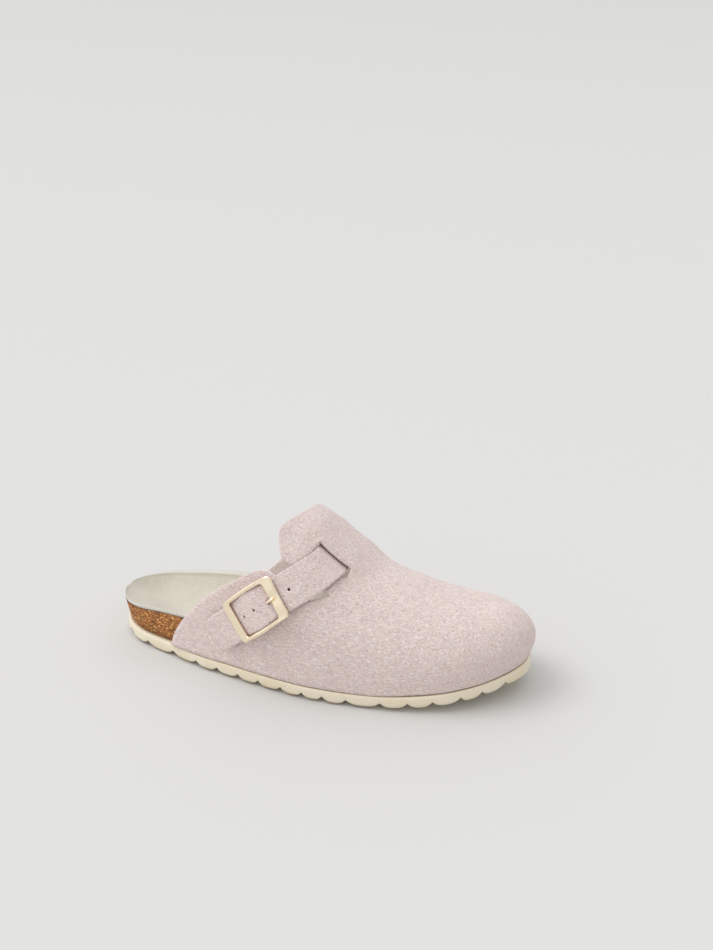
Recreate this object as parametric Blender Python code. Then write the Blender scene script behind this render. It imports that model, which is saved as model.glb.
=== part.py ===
"""A felt clog slipper for the right foot: a cork footbed on a moulded outsole, a one-piece felt upper
with a raised tongue, and a felt strap that runs under the tongue to a square buckle on the outer side.

The toe points along +X and the outer (lateral) side of the foot is -Y. The sole stands on Z = 0.
All sizes are in metres.
"""

import math
from collections import namedtuple

import bmesh
import bpy
from mathutils import Matrix, Vector

# Overall sizes
LENGTH = 0.256
BALL_WIDTH = 0.094
INSTEP_HEIGHT = 0.080
PIECE_GAP = 0.0003
LINING_GAP = 0.00045

# Outsole
OUTSOLE_THICKNESS = 0.0086
OUTSOLE_EDGE_ROUND = 0.0008
TOE_SPRING = 0.011
TOE_SPRING_START = 0.62
HEEL_SPRING = 0.002
HEEL_SPRING_END = 0.12
LUG_DEPTH = 0.003
LUG_WAVE = 0.0022
LUG_RELIEF = 0.0005
STANDING_LUGS = (2, 10)
LUG_NOTCHES = (0.035, 0.098, 0.176, 0.246, 0.305, 0.363, 0.418, 0.477, 0.531, 0.580,
               0.636, 0.714, 0.775, 0.828, 0.885, 0.925, 0.966)

# Footbed and its lining
FOOTBED_INSET = 0.0010
FOOTBED_LEAN = 0.0010
HEEL_FLARE = 0.0026
HEEL_FLARE_END = 0.16
LINING_THICKNESS = 0.0018

# Felt of the upper and strap
UPPER_THICKNESS = 0.0028
STRAP_THICKNESS = 0.0024
STRAP_WIDTH = 0.0220
STRAP_TIP_RADIUS = 0.0065
STRAP_HOLE_RADIUS = 0.0013
STRAP_SPARE_HOLE_RADIUS = 0.0009
# Holes along the strap, from the one that the prong goes through; the tip lies the positive way
STRAP_HOLES = (-0.0130, 0.0, 0.0090, 0.0180)
SLOT_END_CLEARANCE = 0.0015
BRIDGE_LIFT = 0.0038
TOE_BULGE = 0.0044
SIDE_BULGE = 0.0012

# Places along the length
SLOT_CENTRE = 0.562
BUCKLE_SHARE = 0.427
RIVET_SHARE = 0.435

# Buckle
BUCKLE_LENGTH = 0.0360
BUCKLE_WIDTH = 0.0256
BUCKLE_SIDE_WIDTH = 0.0022
BUCKLE_NEAR_BAR = 0.0056
BUCKLE_FAR_BAR = 0.0050
BUCKLE_SIDE_BULGE = 0.0006
BUCKLE_UNDERSIDE = 0.0054
BUCKLE_BAR_THICKNESS = 0.0022
BUCKLE_CROWN = 0.0008
BUCKLE_BEVEL = 0.0006
HINGE_RADIUS = 0.0008
HINGE_HEIGHT = 0.0026
PRONG_RADIUS = 0.0006
PRONG_CLEARANCE = 0.00025
PRONG_NOTCH = 0.0005
PRONG_HOLE_OFFSET = 0.0102
PRONG_TIP_RADIUS = 0.0009
TAB_WIDTH = 0.0180
TAB_FELT = 0.0010
TAB_TAIL = 0.0150

# Rivet
RIVET_RADIUS = 0.0046
RIVET_HEIGHT = 0.0016
RIVET_SHANK_RADIUS = 0.0012

LATERAL, MEDIAL = -1, 1

PlanRow = namedtuple("PlanRow", "share centre half")
PLAN = (
    PlanRow(0.000, 0.000, 0.266),
    PlanRow(0.080, 0.000, 0.292),
    PlanRow(0.125, -0.003, 0.315),
    PlanRow(0.190, -0.023, 0.346),
    PlanRow(0.260, -0.050, 0.375),
    PlanRow(0.350, -0.070, 0.398),
    PlanRow(0.450, -0.084, 0.427),
    PlanRow(0.545, -0.079, 0.454),
    PlanRow(0.635, -0.051, 0.466),
    PlanRow(0.720, -0.018, 0.468),
    PlanRow(0.800, 0.018, 0.459),
    PlanRow(0.870, 0.055, 0.456),
    PlanRow(0.930, 0.088, 0.442),
    PlanRow(1.000, 0.110, 0.385),
)
HEEL_ROUND, HEEL_POWER = 0.110, 2.0
TOE_ROUND, TOE_POWER = 0.260, 2.2

# Heights of the lining's top above the outsole, as shares of INSTEP_HEIGHT
BedRow = namedtuple("BedRow", "share middle lateral medial")
BED = (
    BedRow(0.00, 0.180, 0.186, 0.182),
    BedRow(0.03, 0.128, 0.202, 0.188),
    BedRow(0.07, 0.090, 0.232, 0.204),
    BedRow(0.13, 0.076, 0.262, 0.236),
    BedRow(0.235, 0.084, 0.285, 0.294),
    BedRow(0.35, 0.108, 0.255, 0.318),
    BedRow(0.45, 0.132, 0.212, 0.300),
    BedRow(0.55, 0.144, 0.176, 0.238),
    BedRow(0.65, 0.128, 0.158, 0.188),
    BedRow(0.75, 0.106, 0.146, 0.152),
    BedRow(0.87, 0.096, 0.140, 0.140),
    BedRow(1.00, 0.118, 0.132, 0.132),
)
BED_CROSS = (0.0, 0.05, 0.14, 0.28, 0.5, 0.72, 0.86, 0.95, 1.0)
BED_CUP_POWER = 3.0

# The ridge of the last under the upper's top line, before the strap lifts the felt there
RidgeRow = namedtuple("RidgeRow", "share height side")
RIDGE = (
    RidgeRow(0.10, 1.300, 0.000),
    RidgeRow(0.430, 1.300, 0.000),
    RidgeRow(0.470, 1.225, 0.000),
    RidgeRow(0.500, 1.168, 0.002),
    RidgeRow(0.530, 1.088, 0.005),
    RidgeRow(0.560, 1.008, 0.008),
    RidgeRow(0.590, 0.936, 0.012),
    RidgeRow(0.630, 0.862, 0.018),
    RidgeRow(0.680, 0.812, 0.028),
    RidgeRow(0.740, 0.762, 0.038),
    RidgeRow(0.810, 0.702, 0.050),
    RidgeRow(0.870, 0.658, 0.060),
    RidgeRow(0.930, 0.622, 0.066),
)
SPINE_TURN, SPINE_END = 0.680, 0.890

# How square each side of the upper's arch is, and how far its foot stands inside the outsole's edge
WallRow = namedtuple("WallRow", "share lateral medial inset")
WALL = (
    WallRow(0.15, 2.50, 3.10, -0.0018),
    WallRow(0.22, 2.50, 3.10, -0.0006),
    WallRow(0.32, 2.50, 3.10, 0.0002),
    WallRow(0.47, 2.50, 2.86, 0.0002),
    WallRow(0.54, 2.50, 2.56, 0.0002),
    WallRow(0.61, 2.50, 2.52, 0.0002),
    WallRow(0.67, 2.48, 2.20, 0.0003),
    WallRow(0.75, 2.45, 1.99, 0.0004),
    WallRow(0.83, 2.52, 2.00, 0.0005),
    WallRow(0.91, 2.62, 2.16, 0.0006),
    WallRow(1.00, 2.70, 2.50, 0.0008),
)

# Rows of the upper from the sole (0) to the ridge (1), and where each one ends at the back
FeltRow = namedtuple("FeltRow", "name lateral medial lateral_back medial_back")
FELT = (
    FeltRow("foot", 0.000, 0.000, 0.176, 0.222),
    FeltRow("wall", 0.060, 0.060, 0.186, 0.250),
    FeltRow("wall", 0.130, 0.120, 0.207, 0.284),
    FeltRow("wall", 0.200, 0.180, 0.242, 0.320),
    FeltRow("wall", 0.280, 0.245, 0.287, 0.360),
    FeltRow("wall", 0.360, 0.310, 0.344, 0.394),
    FeltRow("slit_low", 0.448, 0.375, 0.418, 0.430),
    FeltRow("slit_top", 0.545, 0.440, 0.461, 0.476),
    FeltRow("tongue", 0.615, 0.505, 0.449, 0.479),
    FeltRow("tongue", 0.668, 0.560, 0.443, 0.480),
    FeltRow("slot_low", 0.708, 0.612, 0.446, 0.480),
    FeltRow("slot_top", 0.776, 0.700, 0.456, 0.479),
    FeltRow("tongue", 0.880, 0.840, 0.467, 0.477),
    FeltRow("ridge", 1.000, 1.000, 0.474, 0.474),
)
BACK_CELLS, TOE_CELLS = 7, 14
SLIT_TIP_AT = 0.45
SLIT_MOUTH, SLIT_RUNOUT, SLIT_TIP_LEVEL = 0.010, 0.014, 0.010
LIFT_FRONT_RUNOUT, LIFT_BACK_RUNOUT, LIFT_AT_TONGUE_END = 0.013, 0.018, 0.30


def smooth_step(value):
    value = min(1.0, max(0.0, value))
    return value * value * (3 - 2 * value)


def mix(a, b, share):
    return a + (b - a) * share


def read(rows, column, share):
    """A column of a table at any share of the length, on a smooth curve through its rows."""
    keys = [row.share for row in rows]
    values = [getattr(row, column) for row in rows]
    share = min(keys[-1], max(keys[0], share))
    at = max(i for i in range(len(keys) - 1) if keys[i] <= share or i == 0)

    def slope(i):
        low, high = max(0, i - 1), min(len(keys) - 1, i + 1)
        return (values[high] - values[low]) / (keys[high] - keys[low])

    step = keys[at + 1] - keys[at]
    t = (share - keys[at]) / step
    return (values[at] * (2 * t ** 3 - 3 * t ** 2 + 1)
            + slope(at) * step * (t ** 3 - 2 * t ** 2 + t)
            + values[at + 1] * (3 * t ** 2 - 2 * t ** 3)
            + slope(at + 1) * step * (t ** 3 - t ** 2))


def end_rounding(share):
    """Narrows the plan to nothing at the heel and the toe, on round ends."""
    if share < HEEL_ROUND:
        return max(0.0, 1 - ((HEEL_ROUND - share) / HEEL_ROUND) ** HEEL_POWER) ** (1 / HEEL_POWER)
    if share > 1 - TOE_ROUND:
        return max(0.0, 1 - ((share - 1 + TOE_ROUND) / TOE_ROUND) ** TOE_POWER) ** (1 / TOE_POWER)
    return 1.0


def plan_point(share, side, inset=0.0):
    """A point of the sole's outline in plan, drawn in by the inset."""
    half = (read(PLAN, "half", share) * BALL_WIDTH - inset) * end_rounding(share)
    return Vector((inset + share * (LENGTH - 2 * inset),
                   read(PLAN, "centre", share) * BALL_WIDTH + side * half))


def ground_lift(share):
    """Height of the sole's underside above the floor, from its toe and heel spring."""
    toe = max(0.0, (share - TOE_SPRING_START) / (1 - TOE_SPRING_START))
    heel = max(0.0, (HEEL_SPRING_END - share) / HEEL_SPRING_END)
    return TOE_SPRING * toe ** 2 + HEEL_SPRING * heel ** 2


def outsole_top(share):
    return ground_lift(share) + OUTSOLE_THICKNESS


def link(name, mesh, material, smooth_degrees=None):
    obj = bpy.data.objects.new(name, mesh)
    bpy.context.scene.collection.objects.link(obj)
    mesh.materials.append(material)
    if smooth_degrees is not None:
        mesh.shade_smooth()
        mesh.set_sharp_from_angle(angle=math.radians(smooth_degrees))
    return obj


def mesh_from(name, points, faces, weld=1e-6):
    """A mesh from points and faces, with points on one spot made one and its faces turned outwards."""
    mesh = bpy.data.meshes.new(name)
    mesh.from_pydata([tuple(p) for p in points], [], faces)
    work = bmesh.new()
    work.from_mesh(mesh)
    bmesh.ops.remove_doubles(work, verts=work.verts, dist=weld)
    bmesh.ops.dissolve_degenerate(work, edges=work.edges, dist=weld)
    bmesh.ops.recalc_face_normals(work, faces=work.faces)
    work.to_mesh(mesh)
    work.free()
    return mesh


def loft(name, sections):
    """A closed solid through sections of equal length, each one a closed ring of points."""
    count = len(sections[0])
    points = [p for section in sections for p in section]
    faces = []
    for i in range(len(sections) - 1):
        for j in range(count):
            k = (j + 1) % count
            faces.append((i * count + j, i * count + k, (i + 1) * count + k, (i + 1) * count + j))
    last = (len(sections) - 1) * count
    faces.append(tuple(range(count)))
    faces.append(tuple(last + j for j in range(count)))
    return mesh_from(name, points, faces)


def material(name, colour, roughness, metallic=0.0):
    made = bpy.data.materials.new(name)
    made.use_nodes = True
    shader = made.node_tree.nodes["Principled BSDF"]
    shader.inputs["Base Color"].default_value = (*colour, 1.0)
    shader.inputs["Roughness"].default_value = roughness
    shader.inputs["Metallic"].default_value = metallic
    return made


def lug_stations():
    """(share, height of the underside there above the lugs that the shoe stands on) from heel to toe."""
    ends = (0.0, *LUG_NOTCHES, 1.0)
    profile = ((0.0, 1.0), (0.14, 0.30), (0.34, 0.0), (0.68, 0.0), (0.87, 0.30))
    stations = []
    for number, (start, stop) in enumerate(zip(ends, ends[1:])):
        for along, depth in profile:
            first_or_last = (start == 0.0 and along < 0.34) or (stop == 1.0 and along > 0.34)
            height = 0.0 if first_or_last else LUG_DEPTH * depth
            stands = number in STANDING_LUGS and depth == 0.0
            stations.append((mix(start, stop, along), height if stands else height + LUG_RELIEF))
    stations.append((1.0, LUG_RELIEF))
    return stations


def build_outsole(made_of):
    """The moulded sole, its underside cut by wavy cross notches that show on both edges."""
    cross = (0.0, 0.14, 0.32, 0.5, 0.68, 0.86, 1.0)
    sections = []
    for share, height in lug_stations():
        if share in (0.0, 1.0):
            share = mix(0.0008, 0.9992, share)
        lateral, medial = plan_point(share, LATERAL), plan_point(share, MEDIAL)
        top_lateral = plan_point(share, LATERAL, OUTSOLE_EDGE_ROUND)
        top_medial = plan_point(share, MEDIAL, OUTSOLE_EDGE_ROUND)
        top, floor = outsole_top(share), ground_lift(share) + height
        width = (medial - lateral).length / BALL_WIDTH
        ring = [Vector((*top_medial, top)), Vector((*top_lateral, top)),
                Vector((*lateral, top - OUTSOLE_EDGE_ROUND))]
        for across in cross:
            spot = lateral.lerp(medial, across)
            shift = LUG_WAVE * width * math.sin(2 * math.pi * 1.5 * across)
            edge_rise = OUTSOLE_EDGE_ROUND if across in (0.0, 1.0) else 0.0
            ring.append(Vector((spot.x + shift * (across not in (0.0, 1.0)), spot.y, floor + edge_rise)))
        ring.append(Vector((*medial, top - OUTSOLE_EDGE_ROUND)))
        sections.append(ring)
    return link("outsole", loft("outsole", sections), made_of, 40)


def wall_inset(share):
    return read(WALL, "inset", share)


def footbed_inset(share):
    """How far the cork stands inside the outsole's edge: near it at the bare heel, and a felt in under the upper."""
    covered = wall_inset(share) + UPPER_THICKNESS + PIECE_GAP
    return max(FOOTBED_INSET, covered)


def bed_outline(share, side, height):
    """The cork's side at a height from 0 (outsole) to 1 (rim): it flares at the heel and leans in under the felt."""
    flare = HEEL_FLARE * (1 - smooth_step(share / HEEL_FLARE_END))
    lean = FOOTBED_LEAN * smooth_step((share - HEEL_FLARE_END) / HEEL_FLARE_END)
    return plan_point(share, side, footbed_inset(share) + (lean - flare) * height)


def bed_height(share, across):
    """Height above the outsole of the lining's top, from the lateral edge (0) to the medial edge (1)."""
    side = "lateral" if across < 0.5 else "medial"
    middle, rim = read(BED, "middle", share), read(BED, side, share)
    return INSTEP_HEIGHT * mix(middle, rim, abs(2 * across - 1) ** BED_CUP_POWER)


def bed_shares():
    count = 38
    return [mix(0.0005, 0.9995, (1 - math.cos(math.pi * i / count)) / 2) for i in range(count + 1)]


def bed_section(share, drop):
    """Points across the footbed's top surface, at a drop below the lining's top."""
    lateral, medial = bed_outline(share, LATERAL, 1.0), bed_outline(share, MEDIAL, 1.0)
    base = outsole_top(share)
    return [Vector((*lateral.lerp(medial, across), base + bed_height(share, across) - drop))
            for across in BED_CROSS]


def build_footbed(made_of):
    """The contoured cork footbed, with its heel cup and arch."""
    sections = []
    for share in bed_shares():
        top = bed_section(share, LINING_THICKNESS + LINING_GAP)
        base = outsole_top(share) + PIECE_GAP
        under = [Vector((*bed_outline(share, side, 0.0), base)) for side in (MEDIAL, LATERAL)]
        sections.append(top + under)
    return link("footbed", loft("footbed", sections), made_of, 50)


def build_lining(made_of):
    """The suede lining that covers the footbed to its rim."""
    sections = [bed_section(share, 0.0) + bed_section(share, LINING_THICKNESS)[::-1] for share in bed_shares()]
    return link("insole_lining", loft("insole_lining", sections), made_of, 50)


def spine_share(share):
    """Where the ridge point above a place on the upper's foot lies: straight above it, but held back at the toe."""
    if share <= SPINE_TURN:
        return share
    power = (1 - SPINE_TURN) / (SPINE_END - SPINE_TURN)
    left = (1 - share) / (1 - SPINE_TURN)
    return SPINE_TURN + (SPINE_END - SPINE_TURN) * (1 - max(0.0, left) ** power)


def felt_point(share, level, side):
    """The upper's outer surface, before the strap lifts it: level 0 is its foot and level 1 its ridge."""
    foot = plan_point(share, side, wall_inset(share))
    foot_z = outsole_top(share) + PIECE_GAP
    spine = spine_share(share)
    top = Vector((spine * LENGTH, read(RIDGE, "side", spine) * BALL_WIDTH))
    top_z = read(RIDGE, "height", spine) * INSTEP_HEIGHT
    power = read(WALL, "lateral" if side == LATERAL else "medial", share)
    turn = level * math.pi / 2
    cosine, sine = max(0.0, math.cos(turn)), math.sin(turn)
    reach = (cosine ** power + sine ** power) ** (-1 / power)
    across, up = cosine * reach, sine * reach
    outward = (foot - top).normalized()
    bulge = mix(SIDE_BULGE * smooth_step((share - 0.3) / 0.2), TOE_BULGE, smooth_step((share - 0.75) / 0.25))
    plan = top + (foot - top) * across + outward * bulge * math.sin(math.pi * up)
    return Vector((*plan, mix(foot_z, top_z, up)))


def felt_normal(share, level, side):
    """Outward normal of the felt away from the toe's tip."""
    step = 0.002
    along = felt_point(share + step, level, side) - felt_point(share - step, level, side)
    if level > 1 - step:
        around = felt_point(share, 1 - 4 * step, -side) - felt_point(share, 1 - 4 * step, side)
    else:
        around = felt_point(share, level + step, side) - felt_point(share, level - step, side)
    normal = along.cross(around).normalized()
    return normal if normal.dot(felt_point(share, level, side) - Vector((share * LENGTH, 0, 0))) > 0 else -normal


def ridge_slope():
    """Slope of the ridge where the strap crosses it."""
    step = 0.02
    rise = read(RIDGE, "height", SLOT_CENTRE + step) - read(RIDGE, "height", SLOT_CENTRE - step)
    return rise * INSTEP_HEIGHT / (2 * step * LENGTH)


def slot_half():
    """Half the slot's length, as a share of the shoe's length: it takes the strap's width."""
    return (STRAP_WIDTH / 2 + SLOT_END_CLEARANCE) / math.hypot(1, ridge_slope()) / LENGTH


def slit_tip():
    return SLOT_CENTRE + SLIT_TIP_AT * slot_half()


def lift_at(share):
    """How far the strap raises the felt between its two slots, as a share of BRIDGE_LIFT."""
    front = SLOT_CENTRE + slot_half()
    back = SLOT_CENTRE - slot_half()
    if share > front:
        return 1 - smooth_step((share - front) * LENGTH / LIFT_FRONT_RUNOUT)
    if share < back:
        return mix(1.0, LIFT_AT_TONGUE_END, smooth_step((back - share) * LENGTH / LIFT_BACK_RUNOUT))
    return 1.0


def row_number(name):
    return [row.name for row in FELT].index(name)


def felt_level(row, share, side):
    """Level of a row of the upper at a place along it. The slit's lower edge closes to a point at its tip."""
    values = FELT[row]
    meet = smooth_step((share - SPINE_TURN) / (1 - SPINE_TURN)) / 2
    own, other = (values.lateral, values.medial) if side == LATERAL else (values.medial, values.lateral)
    level = mix(own, other, meet)
    if values.name == "slit_low":
        ahead = (share - slit_tip()) * LENGTH
        closing = 1 - smooth_step(ahead / SLIT_RUNOUT if ahead > 0 else -ahead / SLIT_MOUTH)
        level = mix(level, felt_level(row + 1, share, side) - SLIT_TIP_LEVEL, closing)
    return level


def felt_vertex(row, share, side):
    level = felt_level(row, share, side)
    point = felt_point(share, level, side)
    if row >= row_number("slot_top") and share < SPINE_TURN:
        point += felt_normal(share, level, side) * BRIDGE_LIFT * lift_at(share)
    return point


def felt_lines():
    """Shares of the length at which the upper's cross lines stand, from the slots to the toe's tip."""
    half = slot_half()
    slot = [SLOT_CENTRE + half * at for at in (-1.0, -0.5, 0.0, SLIT_TIP_AT, 1.0)]
    toe = [mix(slot[-1], 1.0, math.sin(math.pi / 2 * i / TOE_CELLS)) for i in range(1, TOE_CELLS + 1)]
    return slot, toe


def build_upper(made_of):
    """The felt upper: one wall from the outer side round the toe to the inner side, with slits and strap slots."""
    slot, toe = felt_lines()
    ahead = slot[1:] + toe
    columns = [(LATERAL, i) for i in range(BACK_CELLS + len(ahead) + 1)]
    columns += [(MEDIAL, i) for _, i in reversed(columns[:-1])]

    def share_of(row, side, i):
        back = FELT[row].lateral_back if side == LATERAL else FELT[row].medial_back
        return mix(back, slot[0], i / BACK_CELLS) if i <= BACK_CELLS else ahead[i - BACK_CELLS - 1]

    points = [felt_vertex(row, share_of(row, side, i), side) for row in range(len(FELT)) for side, i in columns]
    tip = BACK_CELLS + 3
    faces = []
    for row in range(len(FELT) - 1):
        for c in range(len(columns) - 1):
            low = min(columns[c][1], columns[c + 1][1])
            in_slit = FELT[row].name == "slit_low" and low < tip
            in_slot = FELT[row].name == "slot_low" and BACK_CELLS <= low < BACK_CELLS + 4
            if not in_slit and not in_slot:
                a = row * len(columns) + c
                faces.append((a, a + 1, a + 1 + len(columns), a + len(columns)))
    mesh = mesh_from("upper", points, faces, 1e-5)
    if mesh.polygons[0].normal.dot(mesh.polygons[0].center - Vector((LENGTH / 2, 0, 0))) < 0:
        mesh.flip_normals()
    upper = link("upper", mesh, made_of, 60)
    wall = upper.modifiers.new("felt", "SOLIDIFY")
    wall.thickness = UPPER_THICKNESS
    wall.offset = -1
    wall.use_rim = True
    return upper


def level_at_height(share, side, height):
    """Level on the upper's side where it reaches a height."""
    low, high = 0.0, 1.0
    for _ in range(40):
        middle = (low + high) / 2
        if felt_point(share, middle, side).z < height:
            low = middle
        else:
            high = middle
    return (low + high) / 2


StrapSpot = namedtuple("StrapSpot", "share level side")


# The strap's centre line on each side: its drop below the slot, as a share of INSTEP_HEIGHT
StrapRow = namedtuple("StrapRow", "share drop")
LATERAL_STRAP = (
    StrapRow(0.312, 0.615),
    StrapRow(0.360, 0.482),
    StrapRow(0.400, 0.372),
    StrapRow(0.424, 0.306),
    StrapRow(0.452, 0.232),
    StrapRow(0.508, 0.104),
    StrapRow(0.562, 0.000),
)
MEDIAL_STRAP = (
    StrapRow(0.395, 0.510),
    StrapRow(0.435, 0.395),
    StrapRow(0.500, 0.188),
    StrapRow(0.562, 0.000),
)

# Heights of the strap's middle above the felt, under the bridge and outside it
UNDER_BRIDGE = -0.0010
OUTSIDE = 0.0017
UNDER_BAR = 0.0039
OVER_HINGE = 0.0065
STRAP_ACROSS = (-1.0, -0.5, 0.0, 0.5, 1.0)


def surface_steps(spot):
    """How the felt's surface point moves per unit of share and of level."""
    share, level, side = spot
    step = 0.002
    high = min(1.0, level + step)
    along = (felt_point(share + step, level, side) - felt_point(share - step, level, side)) / (2 * step)
    up = (felt_point(share, high, side) - felt_point(share, level - step, side)) / (high - level + step)
    return along, up


def walk(spot, direction, distance):
    """The spot reached from another by going over the felt in a direction."""
    share, level, side = spot
    steps = 6
    for _ in range(steps):
        along, up = surface_steps(StrapSpot(share, level, side))
        step = direction * (distance / steps)
        aa, ab, bb = along.dot(along), along.dot(up), up.dot(up)
        sa, sb = step.dot(along), step.dot(up)
        size = aa * bb - ab * ab
        share += (sa * bb - sb * ab) / size
        level = min(1.0, level + (sb * aa - sa * ab) / size)
    return StrapSpot(share, level, side)


def slot_level(side):
    column = "lateral" if side == LATERAL else "medial"
    return (getattr(FELT[row_number("slot_low")], column) + getattr(FELT[row_number("slot_top")], column)) / 2


class Track:
    """The strap's centre line on one side, measured along the felt from the ridge to the strap's end."""

    def __init__(self, side):
        self.side = side
        rows = LATERAL_STRAP if side == LATERAL else MEDIAL_STRAP
        slot_height = felt_point(SLOT_CENTRE, slot_level(side), side).z
        under = [StrapSpot(SLOT_CENTRE, mix(1.0, slot_level(side), i / 10), side) for i in range(11)]
        outside = []
        for i in range(1, 41):
            share = mix(SLOT_CENTRE, rows[0].share, i / 40)
            height = slot_height - read(rows, "drop", share) * INSTEP_HEIGHT
            outside.append(StrapSpot(share, level_at_height(share, side, height), side))
        self.spots = under + outside
        self.reach = [0.0]
        for a, b in zip(self.spots, self.spots[1:]):
            self.reach.append(self.reach[-1] + (felt_point(*b) - felt_point(*a)).length)
        self.slot = self.reach[10]
        self.length = self.reach[-1]

    def spot(self, run):
        run = min(self.length, max(0.0, run))
        at = max(i for i in range(len(self.reach) - 1) if self.reach[i] <= run)
        part = (run - self.reach[at]) / (self.reach[at + 1] - self.reach[at])
        a, b = self.spots[at], self.spots[at + 1]
        return StrapSpot(mix(a.share, b.share, part), mix(a.level, b.level, part), self.side)

    def run_at(self, share):
        return min(self.reach[10:], key=lambda run: abs(self.spot(run).share - share))

    def square(self, run):
        """Direction across the strap, square to it and towards the toe."""
        ahead = (felt_point(*self.spot(run + 0.003)) - felt_point(*self.spot(run - 0.003))).normalized()
        square = ahead.cross(felt_normal(*self.spot(run))).normalized()
        return square if square.x > 0 else -square

    def place(self, run, across, height):
        """A point at a run along the strap, a distance across it towards the toe, and a height above the felt.

        The strap lies along the slot where it passes through, and turns square to its own line lower down."""
        centre = self.spot(run)
        slot_step = across / (LENGTH * math.hypot(1, ridge_slope()))
        turned = smooth_step((run - self.slot - 0.003) / 0.016)
        spot = StrapSpot(centre.share + slot_step, centre.level, self.side)
        if turned > 0:
            free = walk(centre, self.square(run), across)
            spot = StrapSpot(mix(spot.share, free.share, turned), mix(spot.level, free.level, turned), self.side)
        return felt_point(*spot) + felt_normal(*spot) * height


def profile(pairs, value):
    """A value from (key, value) pairs, eased between them."""
    for (a, low), (b, high) in zip(pairs, pairs[1:]):
        if value <= b:
            return mix(low, high, smooth_step((value - a) / (b - a)))
    return pairs[-1][1]


def strap_section(track, run, height, half):
    """A closed ring round the strap at one run."""
    low = [track.place(run, half * at, height - STRAP_THICKNESS / 2) for at in STRAP_ACROSS]
    high = [track.place(run, half * at, height + STRAP_THICKNESS / 2) for at in STRAP_ACROSS]
    return high + low[::-1]


def strap_half(left):
    """Half the strap's width at a distance from its end, which has round corners."""
    if left >= STRAP_TIP_RADIUS:
        return STRAP_WIDTH / 2
    gone = STRAP_TIP_RADIUS - left
    return STRAP_WIDTH / 2 - STRAP_TIP_RADIUS + math.sqrt(max(0.0, STRAP_TIP_RADIUS ** 2 - gone ** 2))


def pinched(half, run, hinge):
    """Half the strap's width where the buckle's sides squeeze it."""
    inside = BUCKLE_WIDTH / 2 + BUCKLE_SIDE_BULGE - BUCKLE_SIDE_WIDTH - PIECE_GAP
    squeeze = smooth_step(2.2 - 2.6 * abs(run - hinge) / BUCKLE_LENGTH)
    return min(half, mix(STRAP_WIDTH / 2, inside, squeeze))


def strap_runs(track):
    """Runs at which the strap's sections stand: closer at the slot, the buckle and the round end."""
    ends = [track.length - STRAP_TIP_RADIUS * at for at in (1.0, 0.70, 0.42, 0.20, 0.06, 0.0)]
    count = math.ceil((ends[0] - 0.0) / 0.0032)
    return [ends[0] * i / count for i in range(count)] + ends


def lateral_heights(track, hinge):
    gap = 0.0040
    bar = BUCKLE_LENGTH / 2 - BUCKLE_NEAR_BAR / 2
    return ((0.0, UNDER_BRIDGE), (track.slot - gap, UNDER_BRIDGE), (track.slot + gap, OUTSIDE),
            (hinge - bar - 0.009, OUTSIDE), (hinge - bar, UNDER_BAR), (hinge, OVER_HINGE),
            (hinge + bar, UNDER_BAR), (track.length, UNDER_BAR - 0.0006))


def medial_heights(track):
    gap = 0.0042
    return ((0.0, UNDER_BRIDGE), (track.slot - gap, UNDER_BRIDGE), (track.slot + gap, OUTSIDE),
            (track.length, OUTSIDE))


def rod(name, track, centres, radius, sides=12):
    """A straight round cutter or shank square to the felt, between two heights at one place."""
    (run, across, low), (_, _, high) = centres
    start, stop = track.place(run, across, low), track.place(run, across, high)
    axis = (stop - start).normalized()
    first = axis.orthogonal().normalized()
    second = axis.cross(first)
    rings = []
    for end in (start, stop):
        rings.append([end + radius * (first * math.cos(2 * math.pi * i / sides)
                                      + second * math.sin(2 * math.pi * i / sides)) for i in range(sides)])
    return loft(name, rings)


def hide(obj):
    obj.hide_render = True
    obj.display_type = "WIRE"
    return obj


def cut(obj, name, mesh, operation="DIFFERENCE"):
    tool = hide(bpy.data.objects.new(name, mesh))
    bpy.context.scene.collection.objects.link(tool)
    change = obj.modifiers.new(name, "BOOLEAN")
    change.operation = operation
    change.solver = "EXACT"
    change.object = tool


def build_strap(made_of, lateral, medial, hinge, rivet):
    """One felt band: from the rivet up the inner side, under the bridge, and down the outer side to its round end."""
    outer = lateral_heights(lateral, hinge)
    inner = medial_heights(medial)
    sections = [strap_section(medial, run, profile(inner, run), strap_half(medial.length - run))
                for run in reversed(strap_runs(medial))]
    for run in strap_runs(lateral)[1:]:
        half = pinched(strap_half(lateral.length - run), run, hinge)
        sections.append(strap_section(lateral, run, profile(outer, run), half))
    strap = link("strap", loft("strap", sections), made_of, 45)
    for number, place in enumerate(STRAP_HOLES):
        run = hinge - PRONG_HOLE_OFFSET + place
        radius = STRAP_SPARE_HOLE_RADIUS if place else STRAP_HOLE_RADIUS
        ends = ((run, 0.0, profile(outer, run) - 0.004), (run, 0.0, profile(outer, run) + 0.004))
        cut(strap, "strap_hole_" + str(number + 1), rod("strap_hole", lateral, ends, radius))
    cut(strap, "strap_rivet_hole",
        rod("strap_rivet_hole", medial, ((rivet, 0.0, -0.002), (rivet, 0.0, 0.006)), RIVET_SHANK_RADIUS + PIECE_GAP))
    return strap


def rounded_box(back, front, half, radius, spread):
    """Points round a rounded rectangle in the buckle's plane, from its front right corner on."""
    points = []
    corners = ((front - radius, half - radius, 0), (back + radius, half - radius, 90),
               (back + radius, radius - half, 180), (front - radius, radius - half, 270))
    for number, (u, v, start) in enumerate(corners):
        for i in range(6):
            turn = math.radians(start + 18 * i)
            points.append((u + radius * math.cos(turn), v + radius * math.sin(turn)))
        after = corners[(number + 1) % 4]
        turn = math.radians(start + 90)
        begin = (u + radius * math.cos(turn), v + radius * math.sin(turn))
        end = (after[0] + radius * math.cos(turn), after[1] + radius * math.sin(turn))
        for share in spread:
            points.append((mix(begin[0], end[0], share), mix(begin[1], end[1], share)))
    return points


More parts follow.
